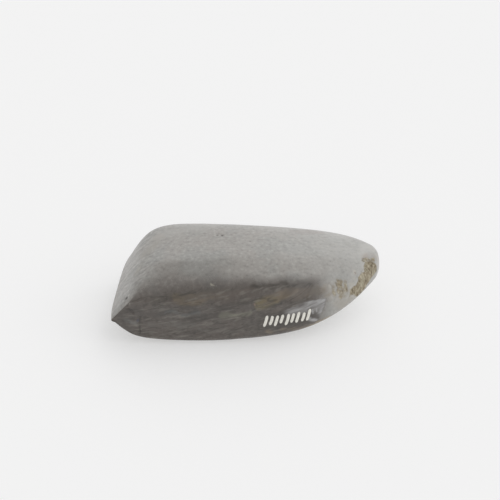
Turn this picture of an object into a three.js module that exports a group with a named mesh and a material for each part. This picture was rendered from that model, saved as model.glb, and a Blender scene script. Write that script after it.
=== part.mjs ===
// Ground stone adze blade lying on its lengthwise-curved front face, all sizes in millimetres.
// X runs from the cutting edge to the butt, Z is up, and the near side is -Y.
import * as THREE from "three";

// Length and the thickest point of the back, which is the face seen from above
const LENGTH = 104;
const THICKNESS = 30;
const CROWN_AT = 42;
const BACK_DROP_AT_EDGE = 0.5;
const BACK_DROP_AT_BUTT = 8.1;
const BACK_DROP_POWER = 1.95;

// Cutting edge, ground from a steep bevel above and a shorter one below
const EDGE_HEIGHT = 11.0;
const EDGE_ROUNDING = 0.3;
const EDGE_BULGE = 1.2;
const EDGE_SKEW = 3.3;
const EDGE_LEAN = 0.3;
const BEVEL_ANGLE = 57;
const BEVEL_SHOULDER_POWER = 2.9;
const LOWER_BEVEL_ANGLE = 47;
const LOWER_SHOULDER_POWER = 4.6;

// Front face, which touches the ground at its middle and rises towards both ends
const KEEL_AT = 42;
const KEEL_RISE_AT_EDGE = 3.3;
const KEEL_RISE_AT_BUTT = 14.4;
const KEEL_RISE_POWER = 2.5;
const FLAT_SPOT_DEPTH = 0.3;
const LOWER_BEVEL_ENDS_BY_SHARE = 0.5;
const LOWER_BEVEL_FADES_FROM_SHARE = 0.35;

// Plan: distances of the near and the far side from the long axis
const NEAR_SIDE_AT_EDGE = 22;
const NEAR_SIDE_WIDEST = 25.6;
const NEAR_SIDE_AT_BUTT = 1.2;
const NEAR_WIDEST_AT = 45;
const NEAR_TAPER_POWER = 3.3;
const FAR_SIDE_AT_EDGE = 23.2;
const FAR_SIDE_WIDEST = 24.7;
const FAR_SIDE_AT_BUTT = 11.1;
const FAR_WIDEST_AT = 41;
const FAR_TAPER_POWER = 7.2;

// Cross-section: a high corner power is nearly square, 2 would be an ellipse
const CORNER_POWER_AT_EDGE = 16;
const CORNER_POWER_AT_BUTT = 2.35;
const NEAR_SHOULDER_POWER = 2.7;
const NEAR_CREASE_LENGTH = 8;
const FAR_SHOULDER_POWER = 3.1;
const FAR_SHOULDER_FADE_LENGTH = 21;
const FRONT_CORNER_POWER = 3.65;
const FRONT_CORNER_FADE_LENGTH = 32;
const WIDEST_HEIGHT_SHARE = 0.35;

// Blunt butt
const BUTT_ROUNDING = 2.4;
const BUTT_END_SHARE = 0.45;
const BUTT_STARTS_AT_SHARE = 0.6;

// Mesh fineness
const BODY_STATIONS = 56;
const BUTT_STATIONS = 7;
const POINTS_PER_QUARTER = 18;
const RING_POINTS = 4 * Math.round(POINTS_PER_QUARTER);
const CROWDING_AT_EDGE = 1.3;
const CROWDING_AT_CORNERS = 0.5;

const STONE_GREY = "#8a8882";

function clampShare(value) {
  return Math.min(Math.max(value, 0), 1);
}

function slopeOf(degrees) {
  return Math.tan(degrees * Math.PI / 180);
}

// Smaller of two lengths, with the corner between them softened
function softMin(a, b, power) {
  const small = 1e-6;
  return (Math.max(a, small) ** -power + Math.max(b, small) ** -power) ** (-1 / power);
}

// A value that peaks at one place along the blade and changes towards both ends
function along(x, peakAt, peak, atEdge, atButt, buttPower) {
  const toEdge = clampShare((peakAt - x) / peakAt);
  const toButt = clampShare((x - peakAt) / (LENGTH - peakAt));
  return peak + (atEdge - peak) * toEdge ** 2 + (atButt - peak) * toButt ** buttPower;
}

// Small quarter round that takes the knife sharpness off the cutting edge
function edgeRound(x) {
  const share = clampShare(x / EDGE_ROUNDING);
  return EDGE_ROUNDING * Math.sqrt(1 - (1 - share) ** 2);
}

function backHeight(x) {
  const atEdge = THICKNESS - BACK_DROP_AT_EDGE;
  const atButt = THICKNESS - BACK_DROP_AT_BUTT;
  const back = along(x, CROWN_AT, THICKNESS, atEdge, atButt, BACK_DROP_POWER);
  const bevel = slopeOf(BEVEL_ANGLE) * x + edgeRound(x);
  return EDGE_HEIGHT + softMin(bevel, back - EDGE_HEIGHT, BEVEL_SHOULDER_POWER);
}

// The keel goes slightly below the ground so that clamping it leaves a flat spot
function frontHeight(x) {
  const keel = along(x, KEEL_AT, -FLAT_SPOT_DEPTH, KEEL_RISE_AT_EDGE, KEEL_RISE_AT_BUTT, KEEL_RISE_POWER);
  const bevel = slopeOf(LOWER_BEVEL_ANGLE) * x + edgeRound(x);
  const ground = EDGE_HEIGHT - softMin(bevel, EDGE_HEIGHT - keel, LOWER_SHOULDER_POWER);
  const fade = LOWER_BEVEL_ENDS_BY_SHARE - LOWER_BEVEL_FADES_FROM_SHARE;
  const keelShare = clampShare((x / LENGTH - LOWER_BEVEL_FADES_FROM_SHARE) / fade);
  return ground * (1 - keelShare) + keel * keelShare;
}

function nearSide(x) {
  return along(x, NEAR_WIDEST_AT, NEAR_SIDE_WIDEST, NEAR_SIDE_AT_EDGE, NEAR_SIDE_AT_BUTT, NEAR_TAPER_POWER);
}

function farSide(x) {
  return along(x, FAR_WIDEST_AT, FAR_SIDE_WIDEST, FAR_SIDE_AT_EDGE, FAR_SIDE_AT_BUTT, FAR_TAPER_POWER);
}

// Corner power at a station: nearly square at the edge, rounder over the body and the butt
function mixPower(x, bodyPower, edgeShare) {
  const buttShare = clampShare((x / LENGTH - BUTT_STARTS_AT_SHARE) / (1 - BUTT_STARTS_AT_SHARE)) ** 2;
  const edgePart = (CORNER_POWER_AT_EDGE - bodyPower) * edgeShare;
  const buttPart = (CORNER_POWER_AT_BUTT - bodyPower) * buttShare;
  return bodyPower + edgePart + buttPart;
}

// The near shoulder is a crisp crease beside the bevel and soon turns soft, the far one fades slowly
function cornerPower(x, across, upward) {
  if (upward < 0) {
    return mixPower(x, FRONT_CORNER_POWER, Math.exp(-x / FRONT_CORNER_FADE_LENGTH));
  }
  const nearPower = mixPower(x, NEAR_SHOULDER_POWER, Math.exp(-((x / NEAR_CREASE_LENGTH) ** 2)));
  const farPower = mixPower(x, FAR_SHOULDER_POWER, Math.exp(-x / FAR_SHOULDER_FADE_LENGTH));
  const nearShare = clampShare(0.5 - across);
  return farPower + (nearPower - farPower) * nearShare ** 2 * (3 - 2 * nearShare);
}

// Places of the cross-sections, closer together near the edge and around the butt
function stations() {
  const list = [];
  const body = LENGTH - BUTT_ROUNDING;
  for (let i = 0; i <= BODY_STATIONS; i += 1) {
    list.push({ x: body * (i / BODY_STATIONS) ** CROWDING_AT_EDGE, scale: 1 });
  }
  for (let i = 1; i <= BUTT_STATIONS; i += 1) {
    const turn = (i / BUTT_STATIONS) * Math.PI / 2;
    const scale = 1 - (1 - BUTT_END_SHARE) * (1 - Math.cos(turn));
    list.push({ x: body + BUTT_ROUNDING * Math.sin(turn), scale });
  }
  return list;
}

// Angle round the section from the far side over the back, closer together at the corners
function ringAngle(index) {
  const quarter = index / (RING_POINTS / 4);
  const start = Math.floor(quarter);
  const share = quarter - start;
  const shift = CROWDING_AT_CORNERS * Math.sin(2 * Math.PI * share) / (2 * Math.PI);
  return (start + share + shift) * Math.PI / 2;
}

// One point of the skin: a superellipse section, bowed and skewed near the cutting edge
function skinPoint(station, index) {
  const { x, scale } = station;
  const angle = ringAngle(index);
  const across = Math.cos(angle);
  const upward = Math.sin(angle);
  const power = cornerPower(x, across, upward);
  const reach = (Math.abs(across) ** power + Math.abs(upward) ** power) ** (-1 / power);

  const top = backHeight(x);
  const bottom = frontHeight(x);
  const widest = bottom + WIDEST_HEIGHT_SHARE * (top - bottom);
  const height = upward >= 0 ? top - widest : widest - bottom;
  const middle = (top + bottom) / 2;
  const z = middle + (widest + height * reach * upward - middle) * scale;

  const halfWidth = (nearSide(x) + farSide(x)) / 2;
  const axis = (farSide(x) - nearSide(x)) / 2;
  const side = reach * across * scale;
  const edgeShare = clampShare(1 - x / (LENGTH / 2)) ** 2;
  const bow = EDGE_SKEW * side - EDGE_BULGE * (1 - side ** 4);
  const lean = EDGE_LEAN * side * edgeShare;
  return [x + bow * edgeShare, axis + halfWidth * side, Math.max(z + lean, 0)];
}

// The first ring has no thickness, so its lower half uses the points of its upper half
function pointIndex(ring, index) {
  const turn = index % RING_POINTS;
  if (ring > 0) {
    return ring * RING_POINTS + turn;
  }
  return turn <= RING_POINTS / 2 ? turn : RING_POINTS - turn;
}

function bladeGeometry() {
  const rings = stations();
  const points = [];
  for (const station of rings) {
    for (let index = 0; index < RING_POINTS; index += 1) {
      points.push(skinPoint(station, index));
    }
  }
  const faces = [];
  for (let ring = 0; ring < rings.length - 1; ring += 1) {
    for (let index = 0; index < RING_POINTS; index += 1) {
      const a = pointIndex(ring, index);
      const b = pointIndex(ring, index + 1);
      const c = pointIndex(ring + 1, index + 1);
      const d = pointIndex(ring + 1, index);
      faces.push([a, b, c], [a, c, d]);
    }
  }
  closeButt(points, faces, rings.length - 1);
  return geometryOf(points, faces);
}

// Fan over the small blunt end
function closeButt(points, faces, ring) {
  const rim = points.slice(ring * RING_POINTS, (ring + 1) * RING_POINTS);
  const middle = [0, 1, 2].map((axis) => rim.reduce((sum, point) => sum + point[axis], 0) / rim.length);
  points.push(middle);
  for (let index = 0; index < RING_POINTS; index += 1) {
    faces.push([pointIndex(ring, index), pointIndex(ring, index + 1), points.length - 1]);
  }
}

function geometryOf(points, faces) {
  const geometry = new THREE.BufferGeometry();
  geometry.setAttribute("position", new THREE.Float32BufferAttribute(points.flat(), 3));
  geometry.setIndex(faces.flat());
  geometry.computeBoundingBox();
  const box = geometry.boundingBox;
  geometry.translate(-(box.min.x + box.max.x) / 2, -(box.min.y + box.max.y) / 2, -box.min.z);
  geometry.computeVertexNormals();
  return geometry;
}

function stoneMaterial() {
  return new THREE.MeshStandardMaterial({ color: STONE_GREY, roughness: 0.5, metalness: 0 });
}

function buildPart() {
  const part = new THREE.Group();
  part.name = "stone_adze_blade";
  const blade = new THREE.Mesh(bladeGeometry(), stoneMaterial());
  blade.name = "adze_blade";
  part.add(blade);
  return part;
}

export default buildPart();
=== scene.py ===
"""Ground stone adze blade lying on its curved front face, bevel up, seen from its near side.

X runs from the cutting edge to the butt, Z is up and the near side is -Y. Lengths are in metres.
"""

from math import cos, radians, sin, tan

import bpy
import numpy as np
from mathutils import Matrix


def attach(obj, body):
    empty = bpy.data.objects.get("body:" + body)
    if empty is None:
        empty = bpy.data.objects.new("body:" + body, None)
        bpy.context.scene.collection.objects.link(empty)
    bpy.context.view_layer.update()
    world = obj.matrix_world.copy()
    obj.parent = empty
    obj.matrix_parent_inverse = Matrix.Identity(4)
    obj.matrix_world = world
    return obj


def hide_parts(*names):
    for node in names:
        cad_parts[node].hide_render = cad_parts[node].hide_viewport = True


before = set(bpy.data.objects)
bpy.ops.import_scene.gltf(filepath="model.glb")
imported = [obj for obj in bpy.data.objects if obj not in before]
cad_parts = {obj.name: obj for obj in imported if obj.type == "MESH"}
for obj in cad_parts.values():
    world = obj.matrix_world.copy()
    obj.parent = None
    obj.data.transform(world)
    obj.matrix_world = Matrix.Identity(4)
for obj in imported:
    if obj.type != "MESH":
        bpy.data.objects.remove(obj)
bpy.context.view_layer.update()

MM = 0.001

# Length and the thickest point of the back, which is the face seen from above
LENGTH = 104 * MM
THICKNESS = 30 * MM
CROWN_AT = 42 * MM
BACK_DROP_AT_EDGE = 0.5 * MM
BACK_DROP_AT_BUTT = 8.1 * MM
BACK_DROP_POWER = 1.95

# Cutting edge, ground from a steep bevel above and a shorter one below
EDGE_HEIGHT = 11.0 * MM
EDGE_ROUNDING = 0.3 * MM
EDGE_BULGE = 1.2 * MM
EDGE_SKEW = 3.3 * MM
EDGE_LEAN = 0.3 * MM
BEVEL_ANGLE = radians(57)
BEVEL_SHOULDER_POWER = 2.9
LOWER_BEVEL_ANGLE = radians(47)
LOWER_SHOULDER_POWER = 4.6

# Front face, which touches the ground at its middle and rises towards both ends
KEEL_AT = 42 * MM
KEEL_RISE_AT_EDGE = 3.3 * MM
KEEL_RISE_AT_BUTT = 14.4 * MM
KEEL_RISE_POWER = 2.5
FLAT_SPOT_DEPTH = 0.3 * MM
LOWER_BEVEL_ENDS_BY_SHARE = 0.5
LOWER_BEVEL_FADES_FROM_SHARE = 0.35

# Plan: distances of the near and the far side from the long axis
NEAR_SIDE_AT_EDGE = 22 * MM
NEAR_SIDE_WIDEST = 25.6 * MM
NEAR_SIDE_AT_BUTT = 1.2 * MM
NEAR_WIDEST_AT = 45 * MM
NEAR_TAPER_POWER = 3.3
FAR_SIDE_AT_EDGE = 23.2 * MM
FAR_SIDE_WIDEST = 24.7 * MM
FAR_SIDE_AT_BUTT = 11.1 * MM
FAR_WIDEST_AT = 41 * MM
FAR_TAPER_POWER = 7.2

# Cross-section: a high corner power is nearly square, 2 would be an ellipse
CORNER_POWER_AT_EDGE = 16
CORNER_POWER_AT_BUTT = 2.35
NEAR_SHOULDER_POWER = 2.7
NEAR_CREASE_LENGTH = 8 * MM
FAR_SHOULDER_POWER = 3.1
FAR_SHOULDER_FADE_LENGTH = 21 * MM
FRONT_CORNER_POWER = 3.65
FRONT_CORNER_FADE_LENGTH = 32 * MM
WIDEST_HEIGHT_SHARE = 0.35

# Blunt butt
BUTT_ROUNDING = 2.4 * MM
BUTT_END_SHARE = 0.45
BUTT_STARTS_AT_SHARE = 0.6

# Fineness of the visible skin, about 0.35 mm along the blade and round it
BODY_STATIONS = 272
BUTT_STATIONS = 24
RING_POINTS = 320
CROWDING_AT_EDGE = 1.15
CROWDING_AT_CORNERS = 0.5

# The relief fades out this near the cutting edge, and the skin lies this far inside the solid's box
EDGE_KEPT_SHARP = 1.5 * MM
SKIN_INSET = 0.01 * MM

# Relief that grinding and pecking left all over: depth, length from wave to wave, and random seed
GRINDING_WAVES = (0.07 * MM, 13 * MM, 1)
GRINDING_RIPPLES = (0.02 * MM, 4 * MM, 2)
BEDDING_STEPS = (0.02 * MM, 1.6 * MM, 5)
PECKING = (0.04 * MM, 1.5 * MM, 6)

# Pecking: how much of its noise makes a mark, and where along the blade it comes in
PECK_MARK = (0.45, 0.85)
PECKING_STARTS = (0.1 * LENGTH, 0.5 * LENGTH)

# Bends of uneven outlines, one or two at a time: size, how far it strays, and random seed
PATCH_BENDS = ((2.6 * MM, 0.7 * MM, 11), (1.0 * MM, 0.35 * MM, 14))
PALE_SKIN_BENDS = ((8 * MM, 2.5 * MM, 71),)
POLISH_BENDS = ((5 * MM, 0.9 * MM, 21),)
GROOVE_BENDS = ((1.2 * MM, 0.25 * MM, 31),)
SCAR_BENDS = ((6 * MM, 0.8 * MM, 41),)
LACQUER_BENDS = ((2.5 * MM, 0.3 * MM, 51),)
STAIN_BENDS = ((5 * MM, 1.4 * MM, 61), (1.8 * MM, 0.6 * MM, 64))

# Bedding of the stone: thin layers that dip towards the tip and the near side
BEDDING_TILT = (radians(17.5), radians(-12.1), 0)
BEDDING_NORMAL = np.array([-0.2, -0.3, 0.93])
BEDDING_STRETCH = 6

# Weathered skin at the butt: streaks with start, end and radius in millimetres and strength, how each
# patch comes in from its outline, its depth, and the size and random seed of its grit
MAIN_PATCH = (
    ((49.2, -3.2, 20.0), (47.2, -7.4, 18.2), 4.9, 1),
    ((47.2, -7.6, 18.4), (44.0, -11.2, 14.8), 5.0, 1),
    ((43.4, -12.4, 15.6), (41.2, -14.6, 15.4), 3.0, 1),
)
SMALL_PATCH = (
    ((35.4, -15.4, 21.0), (36.8, -17.2, 16.0), 3.6, 1),
    ((38.4, -14.2, 20.4), (38.6, -16.0, 16.0), 2.4, 1),
    ((32.9, -17.0, 20.4), (33.8, -19.0, 16.6), 2.0, 1),
    ((51.0, 0.2, 21.8), (46.6, -2.4, 23.2), 2.1, 1),
)
MAIN_PATCH_EDGE = (0.1, 0.6)
SMALL_PATCH_EDGE = (0.1, 0.8)
SMALL_PATCH_STRENGTH = 0.6
PATCH_DEPTH = 0.1 * MM
GRIT_DEPTH = 0.4 * MM
COARSE_GRIT = (1.3 * MM, 3)
FINE_GRIT = (0.7 * MM, 4)

# Small pits: depth, and centre and radius in millimetres
PIT_DEPTH = 0.3 * MM
PITS = (
    ((-47.5, -19.0, 19.0), 1.5),
    ((-49.0, -17.4, 17.4), 0.6),
    ((42.6, -9.5, 21.5), 0.7),
    ((-11.1, 8.8, 29.7), 0.9),
    ((-9.1, 8.6, 29.7), 1.1),
    ((-13.9, -20.5, 24.3), 0.6),
    ((1.8, 3.6, 29.7), 0.9),
    ((-30.0, 12.0, 28.9), 0.6),
    ((22.0, -3.0, 29.0), 0.6),
    ((9.0, 24.0, 14.0), 1.0),
    ((-20.0, 24.0, 9.0), 0.8),
)

# Cracks and nicks: start, end, radius and depth in millimetres, and how dark the painted shade in a
# crack 1 mm deep looks
GROOVES = (
    ((-42.2, -23.0, 12.6), (-42.8, -23.1, 9.4), 0.9, 0.14),
    ((-42.8, -23.1, 9.4), (-42.4, -22.6, 5.0), 0.7, 0.12),
    ((-47.2, -22.2, 17.4), (-46.4, -22.5, 16.0), 0.7, 0.15),
    ((-46.4, -22.5, 16.0), (-45.4, -22.7, 14.8), 0.6, 0.12),
    ((-52.6, -21.7, 9.6), (-51.2, -21.9, 8.6), 0.9, 0.35),
    ((-53.0, -6.0, 10.6), (-53.6, -6.4, 10.9), 0.5, 0.3),
    ((-50.4, 13.0, 11.0), (-50.8, 13.4, 11.2), 0.7, 0.35),
    ((20.6, -4.0, 29.2), (26.0, -1.0, 28.2), 0.4, 0.1),
)
GROOVE_SHADE = 6

# Old flake scars, plain and shallow, on the sides that the grinding finished less: centre, radius, depth
SCARS = (
    ((31.0, 24.5, 6.0), 9.0, 0.7),
    ((38.0, 21.0, 14.0), 6.5, 0.5),
    ((19.0, 26.0, 3.0), 7.0, 0.6),
    ((-33.0, 24.0, 3.0), 6.5, 0.5),
    ((45.0, 3.0, 9.0), 6.0, 0.5),
    ((-44.0, 9.0, 3.0), 5.5, 0.4),
    ((-47.0, -8.0, 5.0), 4.5, 0.3),
    ((37.0, 5.0, 4.0), 8.0, 0.6),
    ((28.0, -12.0, 2.0), 6.5, 0.4),
)

# Dark polish of the near side, whose darkness is also painted shade of the side turned from the light:
# turn to that side where it starts and where it is full, each by the bevel and by the butt, the place
# along the blade where it gives way to the paler skin of the butt, how much that turn wavers, and the
# length and random seed of the wavering
POLISH_STARTS = (0.02, 0.4)
POLISH_FULL = (0.95, 0.7)
POLISH_CHANGES = (-40 * MM, 12 * MM)
POLISH_ENDS_AT = 28.5 * MM
POLISH_END_FADE = 4.5 * MM
POLISH_WAVERS_BY = 0.05
POLISH_WAVES = (7 * MM, 24)
POLISH_UNDER_LACQUER = 0.9

# Turn towards the cutting edge and upwards where the dark polish and its painted shade stop at the
# bevel, and the turn towards the edge where the bevel's wear marks come in
BEVEL_TURN = (0.35, 0.6)
BEVEL_RISE = (-0.3, 0)
WEAR_TURN = (0.25, 0.5)

# Paler skin of the butt: where along the blade it starts and where it is full, farther along by the
# near side than by the far side
PALE_SKIN_RISES = (-12 * MM, 62 * MM)
PALE_SKIN_SKEW = 0.5

# Pale rubbed edges with a painted highlight along the crease and edges: reach of the comparison in
# stations and ring points, and the standing proud
WEAR_REACH = (3, 3)
WEAR_STARTS = 0.06 * MM
WEAR_FULL = 0.25 * MM

# Mineral stains: how they come in from their outline, and start, end, radius in millimetres, colour
# and strength of each
STAIN_EDGE = (0, 0.8)
STAINS = (
    # Brown and dark streaks under the shoulder of the near side, from the edge to the butt
    ((-36.0, -21.8, 20.8), (-8.0, -21.9, 22.6), 2.0, "#58534c", 0.5),
    ((-29.0, -22.6, 20.4), (-20.0, -23.0, 20.2), 3.2, "#706556", 0.85),
    ((-22.0, -23.0, 20.4), (-10.0, -23.4, 20.8), 2.8, "#73685b", 1.0),
    ((-12.0, -22.8, 21.2), (4.0, -23.0, 21.4), 2.6, "#645b54", 0.8),
    ((2.0, -21.8, 22.6), (8.0, -20.6, 24.2), 2.5, "#46403a", 0.95),
    ((8.0, -20.4, 24.3), (15.0, -20.0, 24.0), 2.4, "#46403a", 0.95),
    ((10.0, -22.4, 21.4), (18.0, -21.4, 22.0), 2.4, "#766b60", 0.7),
    ((17.0, -21.8, 20.4), (23.0, -21.0, 20.4), 3.0, "#766c62", 0.8),
    ((25.2, -20.8, 19.6), (29.2, -19.0, 20.0), 3.0, "#6e675e", 0.8),
    ((22.4, -22.2, 18.0), (25.8, -19.6, 21.8), 0.9, "#4d453d", 0.8),
    # Ochre spot above the strokes, and the thin dark line that bends round it
    ((3.0, -24.4, 17.4), (9.0, -23.4, 19.4), 3.0, "#776d55", 1.0),
    ((7.0, -23.6, 19.2), (14.0, -22.4, 20.6), 3.0, "#776b5a", 0.9),
    ((-6.0, -25.0, 14.4), (0.5, -25.0, 14.8), 0.9, "#3f3c38", 0.9),
    ((0.5, -24.9, 14.9), (2.5, -24.6, 17.4), 0.9, "#3f3c38", 0.9),
    ((2.5, -24.6, 17.4), (5.5, -23.6, 20.0), 0.9, "#45413c", 0.8),
    ((3.0, -24.6, 17.0), (12.0, -24.0, 17.6), 1.0, "#45423e", 0.9),
    ((-10.0, -24.8, 15.4), (-2.0, -24.9, 14.6), 0.9, "#45423f", 0.8),
    # Paler grey and buff streaks low on the near side, and a small bluish grain by the crack
    ((-36.0, -23.8, 14.6), (-20.0, -24.5, 14.2), 1.6, "#61615f", 0.9),
    ((-11.0, -24.8, 12.6), (-1.0, -25.0, 13.8), 1.9, "#7b796c", 0.9),
    ((-38.0, -23.2, 9.0), (-20.0, -24.0, 8.0), 2.6, "#6e6b65", 0.6),
    ((-20.0, -24.2, 7.0), (-2.0, -24.6, 6.0), 1.6, "#6d6862", 0.7),
    ((-43.1, -22.9, 11.4), (-42.8, -22.9, 11.8), 0.9, "#4d515e", 1.0),
    ((-47.0, -22.6, 11.4), (-44.0, -22.9, 10.6), 1.6, "#757470", 0.7),
    # Brown corner and lower rim behind the cutting edge
    ((-53.4, -21.6, 10.3), (-50.8, -22.0, 8.6), 1.6, "#43352a", 1.0),
    ((-50.6, -21.9, 7.8), (-45.8, -22.3, 4.8), 2.2, "#463d33", 0.9),
    ((-45.8, -22.1, 4.2), (-30.0, -23.4, 2.6), 1.5, "#4a443d", 0.7),
    ((-45.0, -22.9, 15.4), (-33.0, -23.7, 15.0), 3.2, "#524d49", 0.6),
    # Broad clouds on the back; the darker one on its near half and the paler one on its far half also
    # paint its shade falling from the far side to the near side
    ((-30.0, -12.0, 28.6), (-8.0, -14.0, 28.2), 7.5, "#827f7a", 0.35),
    ((-34.0, 14.0, 28.6), (-14.0, 18.0, 28.2), 7.5, "#aeaba6", 0.6),
    ((45.0, -2.0, 23.2), (50.0, 7.0, 22.0), 6.5, "#bab8b3", 0.6),
    # Dirt in the crack and the nick, and single grains
    ((-42.4, -23.0, 12.4), (-42.6, -22.9, 5.0), 0.7, "#3d3833", 0.9),
    ((-47.2, -22.4, 17.2), (-45.2, -22.8, 14.4), 0.9, "#3f342d", 1.0),
    ((0.6, -24.5, 17.6), (1.0, -24.5, 17.8), 0.7, "#a08078", 1.0),
    ((-14.1, -20.5, 24.3), (-13.6, -20.6, 24.2), 0.8, "#b3ae9f", 1.0),
    ((42.6, -9.5, 21.5), (42.6, -9.6, 21.4), 0.7, "#7d564a", 1.0),
    # Buff lower rim, which paints the table's bounce light on the near side's lower curve, and the pale
    # and brownish spots round the butt
    ((8.0, -24.8, 5.0), (24.0, -22.0, 5.8), 1.9, "#7d7263", 0.8),
    ((24.0, -22.0, 5.8), (38.0, -15.2, 9.4), 1.9, "#8f8470", 0.8),
    ((42.0, -9.0, 21.6), (39.6, -13.6, 17.8), 2.4, "#b9b5ab", 0.8),
    ((50.4, 1.6, 22.2), (47.0, -1.0, 23.4), 3.4, "#9a8b7f", 0.7),
    ((52.6, 1.6, 20.4), (52.2, -2.4, 14.6), 3.6, "#bfbcb5", 0.5),
    ((30.2, -18.8, 21.4), (31.6, -19.8, 17.4), 3.0, "#958d82", 0.75),
    ((36.0, -16.0, 14.0), (43.0, -12.4, 12.0), 6.0, "#a9a398", 0.6),
    ((-42.0, -6.0, 24.0), (-35.0, 12.0, 27.6), 5.0, "#a09a90", 0.5),
    ((20.0, 12.0, 28.4), (30.0, 16.0, 25.5), 4.0, "#948a85", 0.5),
    # Faint stains on the far side and the butt's far half
    ((-34.0, 24.0, 11.0), (-8.0, 25.0, 13.0), 5.5, "#8b8377", 0.3),
    ((-2.0, 25.0, 17.0), (20.0, 23.6, 18.0), 4.6, "#827d74", 0.35),
    ((24.0, 22.4, 12.0), (42.0, 17.6, 13.0), 5.2, "#92897a", 0.35),
    ((-46.0, 22.6, 13.0), (-40.0, 23.0, 8.0), 2.6, "#6f675c", 0.6),
    ((51.0, 8.0, 10.0), (48.0, 13.0, 13.0), 3.4, "#8c8170", 0.5),
)

# Clear lacquer brushed on under the strokes: corners of the patch seen from the near side, as distances
# along the blade and heights in millimetres, how softly its edge fades, the turn to the near side where
# it ends, and its milky end with a painted glare of the light along its upper edge: start, end, radius
# and strength
LACQUER = ((4.0, 11.6), (22.8, 17.8), (30.5, 17.1), (29.8, 13.4), (27.0, 7.2), (15.6, 5.8))
LACQUER_FADE = 0.5 * MM
LACQUER_TURN = (0.3, 0.5)
BLOOM_AND_GLARE = (
    ((16.0, -23.8, 14.4), (30.0, -20.2, 14.6), 4.8, 0.7),
    ((21.6, -22.6, 16.6), (30.2, -20.1, 16.4), 2.4, 0.8),
    ((27.0, -21.4, 16.4), (30.4, -20.0, 16.6), 2.0, 1.0),
    ((29.4, -20.4, 15.6), (28.0, -21.2, 11.0), 2.8, 0.8),
    ((24.6, -22.4, 13.4), (24.8, -22.4, 11.6), 0.9, 0.8),
    ((26.2, -22.0, 13.6), (26.4, -22.0, 12.0), 0.8, 0.8),
    ((23.4, -22.8, 9.2), (26.2, -21.9, 7.8), 1.5, 1.0),
)

# Row of painted strokes on the near side, in millimetres along the blade and up it; their bend and
# stray follow sines, each with its own turn in radians from stroke to stroke
STROKE_COUNT = 9
ROW_START = 6.2
ROW_PITCH = 2.1
ROW_HEIGHT = 10.2
ROW_RISE = 0.1
STROKE_LENGTHS = (5.2, 4.3, 4.9, 4.0)
STROKE_LEAN = 0.25
STROKE_BEND = 0.12
BEND_TURN = 1.9
STROKE_STRAYS_BY = 0.3
STRAY_TURN = 2.6
STROKE_WIDTH = 1.2 * MM
STROKE_THICKNESS = 0.06 * MM
STROKE_END_POWER = 6
STROKE_TIP_BLUNTNESS = 0.02
STROKE_STEPS = 15
STROKE_RING_POINTS = 10

# Values of each point of the skin that the stone's material reads
STONE_MARKS = (
    "rough_skin", "polish_and_side_shade", "pale_skin", "bevel", "rubbed_edge_highlight", "hollow_shade", "lacquer", "bloom_and_glare",
)

# Ways a pattern lies in the stone: name, turn and stretch
PATTERN_LIES = (
    ("bedded", BEDDING_TILT, (BEDDING_STRETCH, BEDDING_STRETCH, 1)),
    ("up_bevel", (0, 0, 0), (2.6, 1, 2.6)),
    ("upright", (0, 0, 0), (1, 1, 2)),
    ("scratched", (0, 0, radians(35)), (24, 1, 1)),
)

# Patterns in the stone: name, how it lies, size in millimetres, detail
STONE_PATTERNS = (
    ("clouds", "plain", 11.0, 3),
    ("hue", "plain", 6.0, 2),
    ("mottle", "plain", 1.4, 4),
    ("grain", "plain", 0.5, 2),
    ("beds", "bedded", 2.4, 3),
    ("veins", "bedded", 3.4, 3),
    ("fine_beds", "bedded", 0.9, 3),
    ("wear_marks", "up_bevel", 2.0, 4),
    ("granules", "upright", 0.85, 3),
    ("patch_tone", "upright", 2.0, 3),
    ("scratches", "scratched", 0.4, 2),
)

# Stone's tint where it is polished, which also paints the near side's shade, and roughness of its satin
# finish and of the lacquer
POLISH_AND_SHADE_TINT = "#9d9692"
SATIN_ROUGHNESS = 0.24
LACQUER_ROUGHNESS = 0.14

# A noise pattern's middle value, and a vein's half width in it
NOISE_MIDDLE = 0.5
VEIN_HALF_WIDTH = 0.03

# Values of the bedding between which a stain comes in, and the share of it kept between two such beds
STAINED_BEDS = (0.36, 0.56)
STAIN_KEPT_BETWEEN = 0.3

# Share of mottling lost at the butt, and the share of dark polish and painted shade at which streaks and
# veins show
CALMER_AT_BUTT = 0.25
STREAKED_POLISH = (0.85, 1.0)

# How strongly mottling breaks up the weathered skin's outline, and the sum at which that skin shows
SKIN_BREAKS_UP_BY = 0.9
SKIN_SHOWS = (0.62, 1.2)

# Soft studio lights: azimuth clockwise from behind the blade and elevation of the middle, half angle
# of full light and half angle where it has faded, in degrees, and strength
STUDIO_LIGHTS = (
    (0, 18, 8, 38, 0.72),
    (45, 35, 8, 38, 0.56),
    (90, 55, 8, 42, 0.33),
    (90, 18, 8, 38, 0.45),
    (135, 35, 8, 38, 0.33),
)
ROOM_LIGHT = 0.57

# White table: its size, its shade and the strength of its own glow
TABLE_SIZE = 6.0
TABLE_COLOUR = "#cbcbcb"
TABLE_GLOW = 0.396

# Camera as the photograph was taken, and the point it looks at; the sensor's width is in millimetres
CAMERA_ELEVATION = radians(31)
CAMERA_AZIMUTH = radians(-3.2)
CAMERA_DISTANCE = 0.65
CAMERA_AIM = (0.92 * MM, -10.86 * MM, 34.19 * MM)
PIXELS_PER_METRE_AT_AIM = 2580
FRAME_PIXELS = 500
SENSOR_WIDTH = 36


def share(value):
    """The value held between 0 and 1."""
    return np.clip(value, 0, 1)


def soft_min(a, b, power):
    """Smaller of two lengths, with the corner between them softened by a power mean."""
    small = 1e-9
    return (np.maximum(a, small) ** -power + np.maximum(b, small) ** -power) ** (-1 / power)


def along(x, peak_at, peak, at_edge, at_butt, butt_power):
    """A value that peaks at one place along the blade and changes towards both ends."""
    to_edge = share((peak_at - x) / peak_at)
    to_butt = share((x - peak_at) / (LENGTH - peak_at))
    return peak + (at_edge - peak) * to_edge ** 2 + (at_butt - peak) * to_butt ** butt_power


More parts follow.
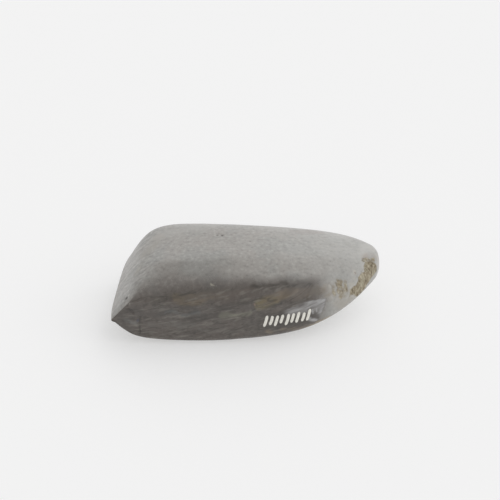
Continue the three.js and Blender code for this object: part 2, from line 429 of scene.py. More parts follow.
def edge_round(x):
    """Small quarter round that takes the knife sharpness off the cutting edge."""
    return EDGE_ROUNDING * np.sqrt(1 - (1 - share(x / EDGE_ROUNDING)) ** 2)


def back_height(x):
    """Height of the back: the bevel rises from the edge and runs softly into the long curve."""
    at_edge = THICKNESS - BACK_DROP_AT_EDGE
    at_butt = THICKNESS - BACK_DROP_AT_BUTT
    back = along(x, CROWN_AT, THICKNESS, at_edge, at_butt, BACK_DROP_POWER)
    bevel = tan(BEVEL_ANGLE) * x + edge_round(x)
    return EDGE_HEIGHT + soft_min(bevel, back - EDGE_HEIGHT, BEVEL_SHOULDER_POWER)


def front_height(x):
    """Height of the front face: a short bevel under the edge, then the keel's long curve."""
    keel = along(x, KEEL_AT, -FLAT_SPOT_DEPTH, KEEL_RISE_AT_EDGE, KEEL_RISE_AT_BUTT, KEEL_RISE_POWER)
    bevel = tan(LOWER_BEVEL_ANGLE) * x + edge_round(x)
    ground = EDGE_HEIGHT - soft_min(bevel, EDGE_HEIGHT - keel, LOWER_SHOULDER_POWER)
    fade = LOWER_BEVEL_ENDS_BY_SHARE - LOWER_BEVEL_FADES_FROM_SHARE
    keel_share = share((x / LENGTH - LOWER_BEVEL_FADES_FROM_SHARE) / fade)
    return ground * (1 - keel_share) + keel * keel_share


def near_side(x):
    """Distance of the near side from the long axis."""
    return along(x, NEAR_WIDEST_AT, NEAR_SIDE_WIDEST, NEAR_SIDE_AT_EDGE, NEAR_SIDE_AT_BUTT,
                 NEAR_TAPER_POWER)


def far_side(x):
    """Distance of the far side from the long axis."""
    return along(x, FAR_WIDEST_AT, FAR_SIDE_WIDEST, FAR_SIDE_AT_EDGE, FAR_SIDE_AT_BUTT, FAR_TAPER_POWER)


def mix_power(x, body_power, edge_share):
    """Power of a section's corner between its values at the edge, along the body and at the butt."""
    butt_share = share((x / LENGTH - BUTT_STARTS_AT_SHARE) / (1 - BUTT_STARTS_AT_SHARE)) ** 2
    edge_part = (CORNER_POWER_AT_EDGE - body_power) * edge_share
    butt_part = (CORNER_POWER_AT_BUTT - body_power) * butt_share
    return body_power + edge_part + butt_part


def corner_power(x, across, upward):
    """The near shoulder is a crease by the bevel and soon turns soft; the far one fades slowly."""
    front = mix_power(x, FRONT_CORNER_POWER, np.exp(-x / FRONT_CORNER_FADE_LENGTH))
    near = mix_power(x, NEAR_SHOULDER_POWER, np.exp(-((x / NEAR_CREASE_LENGTH) ** 2)))
    far = mix_power(x, FAR_SHOULDER_POWER, np.exp(-x / FAR_SHOULDER_FADE_LENGTH))
    near_share = share(0.5 - across)
    back = far + (near - far) * near_share ** 2 * (3 - 2 * near_share)
    return np.where(upward < 0, front, back)


def section(x):
    """Top, bottom and height of the widest place of the section at x, its half width and its middle."""
    top = back_height(x)
    bottom = front_height(x)
    widest = bottom + WIDEST_HEIGHT_SHARE * (top - bottom)
    return top, bottom, widest, (near_side(x) + far_side(x)) / 2, (far_side(x) - near_side(x)) / 2


def loft(x, scale, angle):
    """Point of the smooth skin: a superellipse section at x, shrunk by scale, at an angle round it.

    The angle runs from the far side over the back. Near the cutting edge the section is bowed
    forwards at its middle, skewed towards the near corner and leant with it.
    """
    across = np.cos(angle)
    upward = np.sin(angle)
    power = corner_power(x, across, upward)
    reach = (np.abs(across) ** power + np.abs(upward) ** power) ** (-1 / power)

    top, bottom, widest, half_width, axis = section(x)
    height = np.where(upward >= 0, top - widest, widest - bottom)
    middle = (top + bottom) / 2
    z = middle + (widest + height * reach * upward - middle) * scale

    side = reach * across * scale
    edge_share = share(1 - x / (LENGTH / 2)) ** 2
    bow = EDGE_SKEW * side - EDGE_BULGE * (1 - side ** 4)
    lean = EDGE_LEAN * side * edge_share
    return np.stack([x + bow * edge_share, axis + half_width * side, np.maximum(z + lean, 0)], axis=-1)


def ring_angles():
    """Angles round the section, closer together at its four corners."""
    quarter = np.arange(RING_POINTS) / (RING_POINTS / 4)
    part = quarter - np.floor(quarter)
    crowded = part + CROWDING_AT_CORNERS * np.sin(2 * np.pi * part) / (2 * np.pi)
    return (np.floor(quarter) + crowded)[None, :] * np.pi / 2


def station_places():
    """Places of the sections along the blade, and how far each is shrunk round the butt's end."""
    body = LENGTH - BUTT_ROUNDING
    body_x = body * (np.arange(BODY_STATIONS) / (BODY_STATIONS - 1)) ** CROWDING_AT_EDGE
    turn = np.arange(1, BUTT_STATIONS + 1) / BUTT_STATIONS * np.pi / 2
    x = np.concatenate([body_x, body + BUTT_ROUNDING * np.sin(turn)])
    scale = np.concatenate([np.ones(BODY_STATIONS), 1 - (1 - BUTT_END_SHARE) * (1 - np.cos(turn))])
    return x[:, None], scale[:, None]


def smooth_skin():
    """Rings of the smooth skin, with the middle of its own box in plan at the origin."""
    x, scale = station_places()
    rings = loft(x, scale, ring_angles())
    flat = rings.reshape(-1, 3)
    middle = (flat.min(axis=0) + flat.max(axis=0)) / 2
    return rings - middle * (1, 1, 0), middle


def outward(grid):
    """Outward normals of a grid of rings, from the cross product of its two directions."""
    down_length = np.gradient(grid, axis=0)
    round_ring = np.roll(grid, -1, axis=1) - np.roll(grid, 1, axis=1)
    normal = np.cross(round_ring, down_length)
    return normal / np.maximum(np.linalg.norm(normal, axis=-1, keepdims=True), 1e-12)


def lattice_noise(points, cell, seed):
    """Random values on a cubic lattice of the given cell, blended smoothly between, -1 to 1."""
    size = 32
    lattice = np.random.default_rng(seed).uniform(-1, 1, (size, size, size))
    place = points / cell + size
    base = np.floor(place).astype(int)
    part = place - base
    part = part * part * (3 - 2 * part)
    total = np.zeros(points.shape[:-1])
    for corner in np.ndindex(2, 2, 2):
        index = (base + np.array(corner)) % size
        weight = np.prod(np.where(np.array(corner) == 1, part, 1 - part), axis=-1)
        total += weight * lattice[index[..., 0], index[..., 1], index[..., 2]]
    return total


def smooth_step(low, high, value):
    """0 below low, 1 above high, with a soft change between."""
    part = share((value - low) / (high - low))
    return part * part * (3 - 2 * part)


def wander(points, bends):
    """The points, shifted by smooth random amounts, so that an outline drawn on them wanders."""
    for size, stray, seed in bends:
        shift = [lattice_noise(points, size, seed + axis) for axis in range(3)]
        points = points + stray * np.stack(shift, axis=-1)
    return points


def streak(points, start, end, radius):
    """1 on the line between two places, falling softly to 0 at a radius; sizes in millimetres."""
    first = np.array(start) * MM
    line = np.array(end) * MM - first
    part = share((points - first) @ line / max(line @ line, 1e-12))
    offset = points - first - part[..., None] * line
    return 1 - smooth_step(0, 1, np.linalg.norm(offset, axis=-1) / (radius * MM))


def strongest(points, streaks):
    """Largest of several streaks at each point, each times its own strength."""
    total = np.zeros(points.shape[:-1])
    for start, end, radius, strength in streaks:
        total = np.maximum(total, strength * streak(points, start, end, radius))
    return total


def scoop(points, centre, radius):
    """Shallow bowl with a crisp rim, 1 at its middle; sizes in millimetres."""
    offset = (points - np.array(centre) * MM) / (radius * MM)
    return share(1 - (offset ** 2).sum(axis=-1))


def bedding(points, thickness, seed):
    """Noise drawn out along the stone's bedding planes, which dip towards the tip and the near side."""
    across = points @ BEDDING_NORMAL
    flat = points - across[..., None] * BEDDING_NORMAL
    return lattice_noise(flat / BEDDING_STRETCH + across[..., None] * BEDDING_NORMAL, thickness, seed)


def rough_skin(points):
    """Share of unground, weathered skin: two patches at the butt with ragged outlines."""
    ragged = wander(points, PATCH_BENDS)
    main = smooth_step(*MAIN_PATCH_EDGE, strongest(ragged, MAIN_PATCH))
    small = smooth_step(*SMALL_PATCH_EDGE, strongest(ragged, SMALL_PATCH))
    return np.maximum(main, SMALL_PATCH_STRENGTH * small)


def pale_skin(points):
    """Share of paler, drier skin, which comes in slowly from the middle of the blade to the butt."""
    ragged = wander(points, PALE_SKIN_BENDS)
    return smooth_step(*PALE_SKIN_RISES, ragged[..., 0] + PALE_SKIN_SKEW * ragged[..., 1])


def polish_and_side_shade(points, normal):
    """Share of the dark, glossy polish that covers the near side up to the paler skin of the butt; its
    darkening also paints the shade of the side turned from the light.
    """
    ragged = wander(points, POLISH_BENDS)
    to_butt = smooth_step(*POLISH_CHANGES, points[..., 0])
    starts = POLISH_STARTS[0] + (POLISH_STARTS[1] - POLISH_STARTS[0]) * to_butt
    full = POLISH_FULL[0] + (POLISH_FULL[1] - POLISH_FULL[0]) * to_butt
    turned = -normal[..., 1] + POLISH_WAVERS_BY * lattice_noise(points, *POLISH_WAVES)
    before_butt = 1 - smooth_step(-POLISH_END_FADE, POLISH_END_FADE, ragged[..., 0] - POLISH_ENDS_AT)
    on_bevel = smooth_step(*BEVEL_TURN, -normal[..., 0]) * smooth_step(*BEVEL_RISE, normal[..., 2])
    # This share also paints the shade of the near side, which is turned away from the light
    polished = smooth_step(starts, full, turned) * before_butt * (1 - on_bevel)
    return np.maximum(polished, POLISH_UNDER_LACQUER * lacquer_share(points, normal))


def rubbed_edges_and_highlight(rings, normal):
    """Share of pale rubbing and painted highlight, which is where a point stands proud of the middle of
    its neighbours.
    """
    reach_x, reach_ring = WEAR_REACH
    ahead = np.roll(rings, -reach_ring, axis=1)
    behind = np.roll(rings, reach_ring, axis=1)
    last = len(rings) - 1
    rows = np.arange(len(rings))
    before = rings[np.clip(rows - reach_x, 0, last)]
    after = rings[np.clip(rows + reach_x, 0, last)]
    proud = ((rings - (ahead + behind) / 2) * normal).sum(axis=-1)
    proud += ((rings - (before + after) / 2) * normal).sum(axis=-1)
    return smooth_step(WEAR_STARTS, WEAR_FULL, proud)


def grooves(points):
    """Depth of the cracks and nicks, in millimetres."""
    return strongest(wander(points, GROOVE_BENDS), GROOVES)


def pits(points):
    """Share of full depth in the few larger pits, round hollows that are deepest at their centres."""
    return strongest(points, [(centre, centre, radius, 1) for centre, radius in PITS])


def scars(points):
    """Depth of old flake scars that the grinding left on the far side, the foot and the butt."""
    ragged = wander(points, SCAR_BENDS)
    total = np.zeros(points.shape[:-1])
    for centre, radius, depth in SCARS:
        total = np.maximum(total, depth * MM * scoop(ragged, centre, radius))
    return total


def relief(points):
    """Depth cut into the smooth skin: grinding waves, pecking, bedding, scars, pits and patches."""
    waves = GRINDING_WAVES[0] * (1 + lattice_noise(points, *GRINDING_WAVES[1:]))
    ripples = GRINDING_RIPPLES[0] * (1 + lattice_noise(points, *GRINDING_RIPPLES[1:]))
    steps = BEDDING_STEPS[0] * (1 + bedding(points, *BEDDING_STEPS[1:]))
    pecked = smooth_step(*PECK_MARK, lattice_noise(points, *PECKING[1:]))
    pecking = PECKING[0] * pecked * smooth_step(*PECKING_STARTS, points[..., 0])

    # The grit varies between nothing and its full depth, coarse grains more than fine ones
    coarse = lattice_noise(points, *COARSE_GRIT)
    fine = lattice_noise(points, *FINE_GRIT)
    patches = rough_skin(points) * (PATCH_DEPTH + GRIT_DEPTH * (0.5 + 0.3 * coarse + 0.2 * fine))
    hollows = PIT_DEPTH * pits(points) + grooves(points) * MM
    return waves + ripples + steps + pecking + patches + hollows + scars(points)


def blade_skin():
    """Rings of the finished skin: the smooth skin pressed in along its normals by the relief."""
    smooth, middle = smooth_skin()
    normal = outward(smooth)
    from_edge = station_places()[0]
    edge_fade = smooth_step(0, EDGE_KEPT_SHARP, from_edge)
    rings = smooth - normal * (relief(smooth) * edge_fade + SKIN_INSET)[..., None]
    rings[..., 2] = np.where(smooth[..., 2] <= 0, 0, np.maximum(rings[..., 2], 0))
    return rings, normal, middle


def ring_faces(rings, around):
    """Quads between neighbouring rings; the first ring's lower half shares its upper half's points."""
    index = np.arange(rings * around).reshape(rings, around)
    turn = np.arange(around)
    index[0] = np.where(turn <= around // 2, turn, around - turn)
    a = index[:-1]
    b = np.roll(index, -1, axis=1)[:-1]
    c = np.roll(index, -1, axis=1)[1:]
    d = index[1:]
    return np.stack([a, b, c, d], axis=-1).reshape(-1, 4)


def make_object(name, points, faces, material):
    """Smooth shaded mesh object at the origin, with its place in its mesh."""
    mesh = bpy.data.meshes.new(name)
    mesh.from_pydata(points.tolist(), [], faces)
    mesh.materials.append(material)
    mesh.shade_smooth()
    mesh.update()
    piece = bpy.data.objects.new(name, mesh)
    bpy.context.scene.collection.objects.link(piece)
    return piece


def lacquer_share(points, normal):
    """Share of clear lacquer: inside a patch with straight sides, drawn as seen from the near side."""
    ragged = wander(points, LACQUER_BENDS)
    inside = np.full(points.shape[:-1], np.inf)
    for (x0, z0), (x1, z1) in zip(LACQUER, LACQUER[1:] + LACQUER[:1]):
        side = np.array([z1 - z0, x0 - x1]) / np.hypot(x1 - x0, z1 - z0)
        distance = (ragged[..., 0] - x0 * MM) * side[0] + (ragged[..., 2] - z0 * MM) * side[1]
        inside = np.minimum(inside, distance)
    faces_near = smooth_step(*LACQUER_TURN, -normal[..., 1])
    return smooth_step(0, LACQUER_FADE, inside) * faces_near


def stain_colours(points):
    """Colour of the mineral stains at each point, and how strong they are there as its alpha."""
    ragged = wander(points, STAIN_BENDS)
    total = np.zeros(points.shape[:-1] + (4,))
    for start, end, radius, colour, strength in STAINS:
        amount = strength * smooth_step(*STAIN_EDGE, streak(ragged, start, end, radius))
        total[..., :3] += amount[..., None] * np.array(linear(colour)[:3])
        total[..., 3] += amount
    total[..., :3] /= np.maximum(total[..., 3:], 1e-6)
    total[..., 3] = share(total[..., 3])
    return total


def stone_marks(rings, normal):
    """Everything that the stone's material varies with, one value for each point."""
    lacquer = lacquer_share(rings, normal)
    # Painted shade in cracks and pits, darker where they are deeper
    hollow_shade = share(grooves(rings) * GROOVE_SHADE + pits(rings))
    marks = {
        "rough_skin": rough_skin(rings),
        "polish_and_side_shade": polish_and_side_shade(rings, normal),
        "pale_skin": pale_skin(rings),
        "bevel": smooth_step(*WEAR_TURN, -normal[..., 0]),
        "rubbed_edge_highlight": rubbed_edges_and_highlight(rings, normal) * (1 - hollow_shade),
        "hollow_shade": hollow_shade,
        "lacquer": lacquer,
        "bloom_and_glare": strongest(rings, BLOOM_AND_GLARE) * lacquer,
    }
    return {name: marks[name] for name in STONE_MARKS}


def make_blade(material):
    """The stone blade: rings of skin from the cutting edge to the butt, closed by a small fan."""
    rings, normal, middle = blade_skin()
    count, around = rings.shape[:2]
    points = rings.reshape(-1, 3)
    end = points[-around:].mean(axis=0)
    last = np.arange((count - 1) * around, count * around)
    fan = np.stack([last, np.roll(last, -1), np.full(around, len(points))], axis=-1)
    quads = ring_faces(count, around)

    # The points of the first ring's lower half are not used by any face
    used = np.unique(quads)
    new_index = np.zeros(len(points) + 1, dtype=int)
    new_index[used] = np.arange(len(used))
    new_index[-1] = len(used)
    faces = new_index[quads].tolist() + new_index[fan].tolist()
    piece = make_object("ground_stone_blade", np.concatenate([points[used], end[None]]), faces, material)

    for name, values in stone_marks(rings, normal).items():
        layer = piece.data.attributes.new(name, "FLOAT", "POINT")
        layer.data.foreach_set("value", np.append(values.reshape(-1)[used], 0).astype(np.float32))
    stains = np.concatenate([stain_colours(rings).reshape(-1, 4)[used], np.zeros((1, 4))])
    layer = piece.data.attributes.new("stain", "FLOAT_COLOR", "POINT")
    layer.data.foreach_set("color", stains.astype(np.float32).reshape(-1))
    return piece, middle


def near_side_point(x, z, middle):
    """Point of the smooth near side at a place along the blade and a height, behind the bevel."""
    from_edge = x + middle[0]
    top, bottom, widest, half_width, axis = section(from_edge)
    height = np.where(z >= widest, top - widest, widest - bottom)
    power = corner_power(from_edge, np.full_like(x, -1.0), z - widest)
    rise = share(np.abs(z - widest) / height)
    side = -((1 - rise ** power) ** (1 / power))
    return np.stack([x, axis + half_width * side - middle[1], z], axis=-1)


def stroke_rings(path_x, path_z, middle):
    """Flat closed ridge along a short path: rings round the path, thin against their width."""
    direction = np.stack([np.gradient(path_x), np.gradient(path_z)], axis=-1)
    direction /= np.linalg.norm(direction, axis=-1, keepdims=True)
    along_path = np.linspace(-1, 1, len(path_x))
    to_tip = share(1 + STROKE_TIP_BLUNTNESS - along_path ** STROKE_END_POWER)
    half_width = STROKE_WIDTH / 2 * np.sqrt(to_tip)
    turn = np.arange(STROKE_RING_POINTS) / STROKE_RING_POINTS * 2 * np.pi
    across = half_width[:, None] * np.cos(turn)
    x = path_x[:, None] - direction[:, 1:] * across
    z = path_z[:, None] + direction[:, :1] * across
    base = near_side_point(x, z, middle)
    step = 0.1 * MM
    slope = near_side_point(x + step, z, middle) - near_side_point(x - step, z, middle)
    climb = near_side_point(x, z + step, middle) - near_side_point(x, z - step, middle)
    normal = np.cross(slope, climb)
    normal /= np.linalg.norm(normal, axis=-1, keepdims=True)
    lift = STROKE_THICKNESS * np.sin(turn)[None, :] - relief(base)
    return base + normal * lift[..., None]


def make_strokes(material, middle):
    """Plain brush strokes side by side in a row, leaning and bending a little, long and short."""
    points = []
    faces = []
    part = np.linspace(-1, 1, STROKE_STEPS)
    grid = np.arange(STROKE_STEPS * STROKE_RING_POINTS).reshape(STROKE_STEPS, STROKE_RING_POINTS)
    for mark in range(STROKE_COUNT):
        size = STROKE_LENGTHS[mark % len(STROKE_LENGTHS)] / 2
        bend = STROKE_BEND * (1 + np.sin(BEND_TURN * mark))
        stray = STROKE_STRAYS_BY * np.sin(STRAY_TURN * mark)
        path_x = (ROW_START + ROW_PITCH * mark + STROKE_LEAN * size * part + bend * (1 - part ** 2)) * MM
        path_z = (ROW_HEIGHT + ROW_RISE * mark + stray + size * part) * MM
        rings = stroke_rings(path_x, path_z, middle)
        index = mark * grid.size + grid
        ahead = np.roll(index, -1, axis=1)
        quads = np.stack([index[:-1], index[1:], ahead[1:], ahead[:-1]], axis=-1)
        faces += quads.reshape(-1, 4).tolist() + [index[0].tolist(), index[-1, ::-1].tolist()]
        points.append(rings.reshape(-1, 3))
    return make_object("painted_strokes", np.concatenate(points), faces, material)


def linear(hex_colour):
    """Linear red, green, blue and alpha of an sRGB hex colour."""
    parts = [int(hex_colour[i:i + 2], 16) / 255 for i in (1, 3, 5)]
    return tuple(c / 12.92 if c <= 0.04045 else ((c + 0.055) / 1.055) ** 2.4 for c in parts) + (1,)


def add(tree, kind, inputs=None, **settings):
    """Adds a node, applies its settings, and sets or links its inputs."""
    node = tree.nodes.new(kind)
    for name, value in settings.items():
        setattr(node, name, value)
    for key, value in (inputs or {}).items():
        if isinstance(value, bpy.types.NodeSocket):
            tree.links.new(value, node.inputs[key])
        else:
            node.inputs[key].default_value = value
    return node


def new_material(name):
    """Empty node material with its output node."""
    material = bpy.data.materials.new(name)
    material.use_nodes = True
    material.node_tree.nodes.clear()
    return material, material.node_tree, add(material.node_tree, "ShaderNodeOutputMaterial")


def lay_over(tree, base, layers):
    """Lays colours over a base in turn: each where its pattern lies above low, in full at high."""
    for pattern, low, high, colour, amount in layers:
        mask = add(tree, "ShaderNodeMapRange", {0: pattern, 1: low, 2: high, 3: 0, 4: amount},
                   interpolation_type="SMOOTHSTEP")
        mixed = add(tree, "ShaderNodeMix", {0: mask.outputs[0], 6: base, 7: linear(colour)},
                    data_type="RGBA")
        base = mixed.outputs[2]
    return base


def summed(tree, terms):
    """Sum of patterns, each with its weight."""
    total = 0.0
    for pattern, weight in terms:
        total = add(tree, "ShaderNodeMath", {0: pattern, 1: weight, 2: total},
                    operation="MULTIPLY_ADD").outputs[0]
    return total


def stone_patterns(tree):
    """Noise patterns in the stone, each on Object coordinates turned and stretched by how it lies."""
    place = add(tree, "ShaderNodeTexCoord").outputs["Object"]
    lie = {"plain": place}
    for name, turn, stretch in PATTERN_LIES:
        lie[name] = add(tree, "ShaderNodeMapping", {"Vector": place, "Rotation": turn, "Scale": stretch},
                        vector_type="TEXTURE").outputs[0]
    field = {}
    for name, lies, size, detail in STONE_PATTERNS:
        noise = add(tree, "ShaderNodeTexNoise",
                    {"Vector": lie[lies], "Scale": 1 / (size * MM), "Detail": detail})
        field[name] = noise.outputs["Fac"]
    return field


def stone_body(tree, field, mark):
    """Grey body: warm and cool clouds, bedding and mottling, calmer at the butt, wear up the bevel.

    A pattern is drawn back to its middle value where little of it is kept.
    """
    wear_marks = add(tree, "ShaderNodeMix", {0: mark["bevel"], 2: NOISE_MIDDLE, 3: field["wear_marks"]},
                     data_type="FLOAT").outputs[0]
    calm = add(tree, "ShaderNodeMath", {0: mark["pale_skin"], 1: -CALMER_AT_BUTT, 2: 1.0},
               operation="MULTIPLY_ADD").outputs[0]
    mottle = add(tree, "ShaderNodeMix", {0: calm, 2: NOISE_MIDDLE, 3: field["mottle"]},
                 data_type="FLOAT").outputs[0]
    return lay_over(tree, linear("#9e9a95"), (
        (field["clouds"], 0.42, 0.62, "#939491", 0.5),
        (field["hue"], 0.5, 0.7, "#9b948e", 0.35),
        (mark["pale_skin"], 0.0, 1.0, "#b0afab", 0.75),
        (field["beds"], 0.5, 0.68, "#85827c", 0.22),
        (field["fine_beds"], 0.55, 0.75, "#abaaa5", 0.35),
        (wear_marks, 0.52, 0.66, "#7b7873", 0.55),
        (wear_marks, 0.48, 0.34, "#b5b3ae", 0.55),
        (mottle, 0.52, 0.7, "#6d6b66", 0.36),
        (mottle, 0.48, 0.32, "#bdbcb6", 0.36),
        (field["grain"], 0.58, 0.74, "#75736e", 0.3),
    ))


def stained_stone(tree, colour, field):
    """Lays the mineral stains over a colour, thinner in some beds than in others."""
    stain = add(tree, "ShaderNodeAttribute", attribute_name="stain")
    in_bed = add(tree, "ShaderNodeMapRange",
                 {0: field["beds"], 1: STAINED_BEDS[0], 2: STAINED_BEDS[1], 3: STAIN_KEPT_BETWEEN, 4: 1},
                 interpolation_type="SMOOTHSTEP").outputs[0]
    share_laid = add(tree, "ShaderNodeMath", {0: stain.outputs["Alpha"], 1: in_bed},
                     operation="MULTIPLY").outputs[0]
    return add(tree, "ShaderNodeMix", {0: share_laid, 6: colour, 7: stain.outputs["Color"]},
               data_type="RGBA").outputs[2]


def polished_side(tree, body, field, mark):
    """Darker, deeper colour where the near side is polished and painted shade falls, streaked and veined
    along the bedding.
    """
    # The near side's darker tint: its deeper polished colour and painted shade
    deeper = add(tree, "ShaderNodeMix", {0: mark["polish_and_side_shade"], 6: body, 7: linear(POLISH_AND_SHADE_TINT)},
                 data_type="RGBA", blend_type="MULTIPLY").outputs[2]
    off_vein = add(tree, "ShaderNodeMath", {0: field["veins"], 1: NOISE_MIDDLE},
                   operation="SUBTRACT").outputs[0]
    off_vein = add(tree, "ShaderNodeMath", {0: off_vein}, operation="ABSOLUTE").outputs[0]
    vein = add(tree, "ShaderNodeMapRange", {0: off_vein, 1: VEIN_HALF_WIDTH, 2: 0.0, 3: 0, 4: 1},
               interpolation_type="SMOOTHSTEP").outputs[0]
    on_flank = add(tree, "ShaderNodeMapRange",
                   {0: mark["polish_and_side_shade"], 1: STREAKED_POLISH[0], 2: STREAKED_POLISH[1],
                    3: 0, 4: 1}).outputs[0]
    seen = {}
    for name, pattern, where in (
        ("vein", vein, on_flank),
        ("pale_beds", field["fine_beds"], on_flank),
        ("dark_beds", field["beds"], on_flank),
        ("rubbed", field["mottle"], mark["rubbed_edge_highlight"]),
        ("milky_glare", field["fine_beds"], mark["bloom_and_glare"]),
    ):
        seen[name] = add(tree, "ShaderNodeMath", {0: pattern, 1: where}, operation="MULTIPLY").outputs[0]
    return lay_over(tree, stained_stone(tree, deeper, field), (
        (seen["vein"], 0.0, 1.0, "#3d3934", 0.45),
        (seen["pale_beds"], 0.52, 0.7, "#8b877e", 0.35),
        (seen["dark_beds"], 0.5, 0.66, "#3f3b37", 0.4),
        # Pale rubbed edges, which also paint a highlight along the crease and the edges
        (seen["rubbed"], 0.05, 0.5, "#bbb8b1", 0.5),
        (mark["lacquer"], 0, 1, "#43403c", 0.35),
        # Milky end of the lacquer, which also paints the glare of the light along its upper edge
        (seen["milky_glare"], 0.0, 0.65, "#b7b6b6", 0.85),
    ))


def with_unground_skin(tree, colour, field, mark):
    """Ochre, brown and cream grains of old weathering, breaking up at the patches' outlines."""
    skin_colour = lay_over(tree, linear("#8f846f"), (
        (field["patch_tone"], 0.48, 0.64, "#aba48f", 0.7),
        (field["granules"], 0.52, 0.66, "#62563f", 0.75),
        (field["granules"], 0.45, 0.34, "#c4bba5", 0.65),
    ))
    broken_up = summed(tree, ((mark["rough_skin"], 1.0), (field["mottle"], SKIN_BREAKS_UP_BY)))
    skin_share = add(tree, "ShaderNodeMapRange",
                     {0: broken_up, 1: SKIN_SHOWS[0], 2: SKIN_SHOWS[1], 3: 0, 4: 1},
                     interpolation_type="SMOOTHSTEP").outputs[0]
    return add(tree, "ShaderNodeMix", {0: skin_share, 6: colour, 7: skin_colour},
               data_type="RGBA").outputs[2]


def stone_sheen(tree, field, mark):
    """Roughness: satin on the back, glossier on the near side, dull in the skin, wet on the lacquer."""
    varied = summed(tree, ((field["mottle"], 0.16), (mark["polish_and_side_shade"], -0.1),
                           (mark["rough_skin"], 0.45), (mark["hollow_shade"], 0.3)))
    sheen = add(tree, "ShaderNodeMath", {0: varied, 1: SATIN_ROUGHNESS}, operation="ADD").outputs[0]
    return add(tree, "ShaderNodeMix", {0: mark["lacquer"], 2: sheen, 3: LACQUER_ROUGHNESS},
               data_type="FLOAT").outputs[0]


def stone_relief(tree, field, mark):
    """Fine relief in millimetres: grain, mottling, beds and grinding scratches, granules in the skin."""
    in_skin = add(tree, "ShaderNodeMath", {0: field["granules"], 1: mark["rough_skin"]},
                  operation="MULTIPLY").outputs[0]
    height = summed(tree, ((field["grain"], 0.012), (field["mottle"], 0.02), (field["fine_beds"], 0.02),
                           (field["scratches"], 0.018), (in_skin, 0.3)))
    return add(tree, "ShaderNodeBump", {"Height": height, "Strength": 1.0, "Distance": MM}).outputs[0]


def ground_argillite():
    """Argillite, a dense fine-grained stone, ground on wet sandstone and polished by hand.

    The eye sees a soft sheen on cloudy grey with faint bedding and mottling, a darker and glossier
    near side with brown stains, its darkness partly painted shade, pale rubbed edges with a painted
    highlight, painted shade in cracks and pits, and granular brown skin at the butt.
    """
    material, tree, output = new_material("ground_argillite")
    field = stone_patterns(tree)
    mark = {name: add(tree, "ShaderNodeAttribute", attribute_name=name).outputs["Fac"]
            for name in STONE_MARKS}
    colour = polished_side(tree, stone_body(tree, field, mark), field, mark)
    colour = with_unground_skin(tree, colour, field, mark)
    # Painted shade in cracks and pits, darker where they are deeper
    colour = lay_over(tree, colour, ((mark["hollow_shade"], 0.1, 0.9, "#37322c", 0.85),))
    shader = add(tree, "ShaderNodeBsdfPrincipled",
                 {"Base Color": colour, "Roughness": stone_sheen(tree, field, mark), "IOR": 1.54,
                  "Normal": stone_relief(tree, field, mark)})
    tree.links.new(shader.outputs[0], output.inputs["Surface"])
    return material


def white_paint():
    """White drawing paint, brushed on thinly by hand: chalky, slightly uneven white."""
    material, tree, output = new_material("white_drawing_paint")
    place = add(tree, "ShaderNodeTexCoord").outputs["Object"]
    grain = add(tree, "ShaderNodeTexNoise", {"Vector": place, "Scale": 1 / (0.8 * MM), "Detail": 2})
    colour = add(tree, "ShaderNodeMix",
                 {0: grain.outputs["Fac"], 6: linear("#d9d5c9"), 7: linear("#fbf9f2")},
                 data_type="RGBA")
    shader = add(tree, "ShaderNodeBsdfPrincipled",
                 {"Base Color": colour.outputs[2], "Roughness": 0.5, "IOR": 1.5})
    tree.links.new(shader.outputs[0], output.inputs["Surface"])
    return material


def lit_table():
    """White acrylic table, lit faintly from below, which leaves only a pale shadow."""
    material, tree, output = new_material("white_acrylic_table")
    shader = add(tree, "ShaderNodeBsdfPrincipled",
                 {"Base Color": linear(TABLE_COLOUR), "Roughness": 0.9, "Specular IOR Level": 0.2,
                  "Emission Color": (1, 1, 1, 1), "Emission Strength": TABLE_GLOW})
    tree.links.new(shader.outputs[0], output.inputs["Surface"])
    return material


def make_table():
    """Broad flat table under the blade."""
    half = TABLE_SIZE / 2
    corners = np.array([[-half, -half, 0], [half, -half, 0], [half, half, 0], [-half, half, 0]])
    table = make_object("table", corners, [[0, 1, 2, 3]], lit_table())


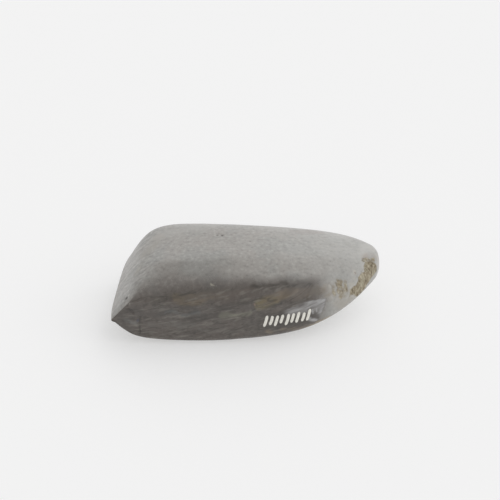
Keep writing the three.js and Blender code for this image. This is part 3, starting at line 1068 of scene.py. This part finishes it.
def make_sky():
    """Soft studio light: broad lights on a dim room, each full at its middle and fading outwards."""
    world = bpy.data.worlds.new("studio")
    bpy.context.scene.world = world
    world.use_nodes = True
    tree = world.node_tree
    tree.nodes.clear()
    output = add(tree, "ShaderNodeOutputWorld")
    direction = add(tree, "ShaderNodeTexCoord").outputs["Generated"]
    terms = []
    for azimuth, elevation, full, gone, strength in STUDIO_LIGHTS:
        level = cos(radians(elevation))
        middle = (sin(radians(azimuth)) * level, cos(radians(azimuth)) * level, sin(radians(elevation)))
        nearness = add(tree, "ShaderNodeVectorMath", {0: direction, 1: middle}, operation="DOT_PRODUCT")
        light = add(tree, "ShaderNodeMapRange",
                    {0: nearness.outputs["Value"], 1: cos(radians(gone)), 2: cos(radians(full)),
                     3: 0, 4: 1},
                    interpolation_type="SMOOTHSTEP")
        terms.append((light.outputs[0], strength))
    room = add(tree, "ShaderNodeMath", {0: summed(tree, terms), 1: ROOM_LIGHT}, operation="ADD")
    background = add(tree, "ShaderNodeBackground", {"Color": (1, 1, 1, 1), "Strength": room.outputs[0]})
    tree.links.new(background.outputs[0], output.inputs["Surface"])


def make_camera():
    """Camera turned about the aim point by its azimuth and raised by its elevation."""
    camera_data = bpy.data.cameras.new("camera")
    camera_data.sensor_width = SENSOR_WIDTH
    focal_pixels = PIXELS_PER_METRE_AT_AIM * CAMERA_DISTANCE
    camera_data.lens = SENSOR_WIDTH * focal_pixels / FRAME_PIXELS
    camera = bpy.data.objects.new("camera", camera_data)
    bpy.context.scene.collection.objects.link(camera)
    level = cos(CAMERA_ELEVATION) * CAMERA_DISTANCE
    camera.location = (
        CAMERA_AIM[0] + sin(CAMERA_AZIMUTH) * level,
        CAMERA_AIM[1] - cos(CAMERA_AZIMUTH) * level,
        CAMERA_AIM[2] + sin(CAMERA_ELEVATION) * CAMERA_DISTANCE,
    )
    camera.rotation_euler = (radians(90) - CAMERA_ELEVATION, 0, CAMERA_AZIMUTH)
    bpy.context.scene.camera = camera


def main():
    """Builds the blade, its painted strokes and the stage."""
    bpy.context.scene.view_settings.view_transform = "Standard"
    make_camera()
    make_sky()
    make_table()

    blade, middle = make_blade(ground_argillite())
    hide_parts("adze_blade")
    strokes = make_strokes(white_paint(), middle)
    for piece in (blade, strokes):
        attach(piece, "root")


main()
